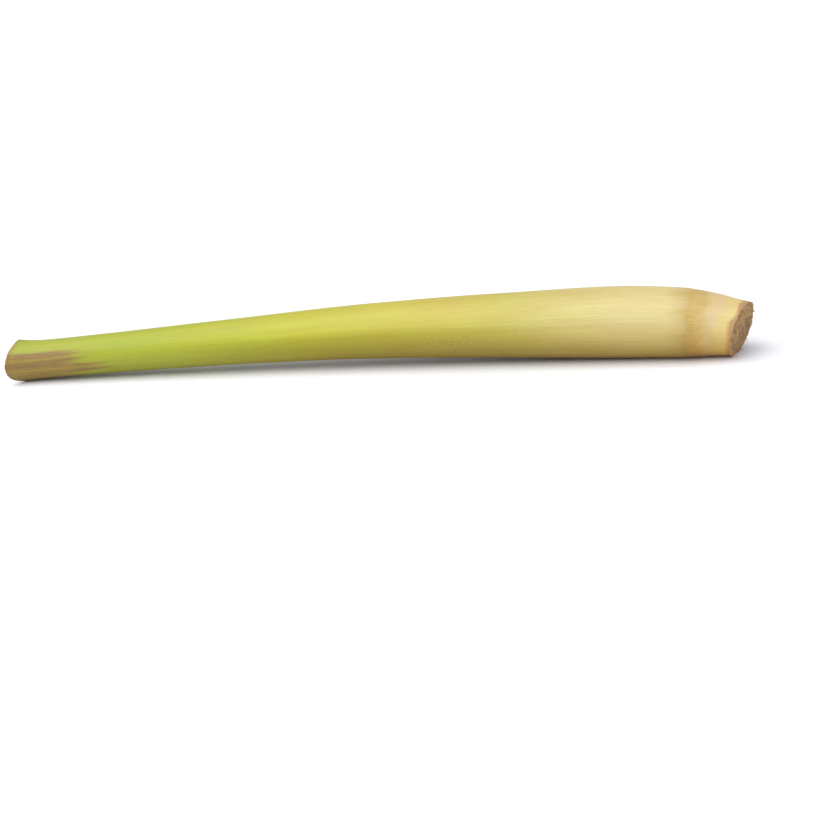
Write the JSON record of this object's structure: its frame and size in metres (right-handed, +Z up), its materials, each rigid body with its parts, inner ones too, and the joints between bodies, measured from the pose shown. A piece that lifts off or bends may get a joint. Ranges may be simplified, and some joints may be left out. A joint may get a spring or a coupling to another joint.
{
  "type": "lemongrass stalk",
  "caption": "Cut lemongrass stalk lying on its side: a long tapering roll of leaf bases round a short solid stem, with a swollen bulb, a bare butt and a cut tip.",
  "frame": {"origin": "on the surface that the stalk lies on, below the middle of its bounding box", "axes": "+X along the stalk from the cut tip to the butt, +Z up, the front of the picture towards -Y"},
  "size_m": [0.247, 0.023, 0.0222],
  "materials": {
    "stem_flesh": "matte",
    "outer_leaf": "satin",
    "inner_leaf": "satin",
    "heart_leaf": "satin"
  },
  "bodies": {
    "root": {"stem_base": "stem_flesh", "outer_sheath": "outer_leaf", "sheath_2": "inner_leaf", "sheath_3": "inner_leaf", "sheath_4": "inner_leaf", "heart": "heart_leaf"}
  },
  "joints": []
}
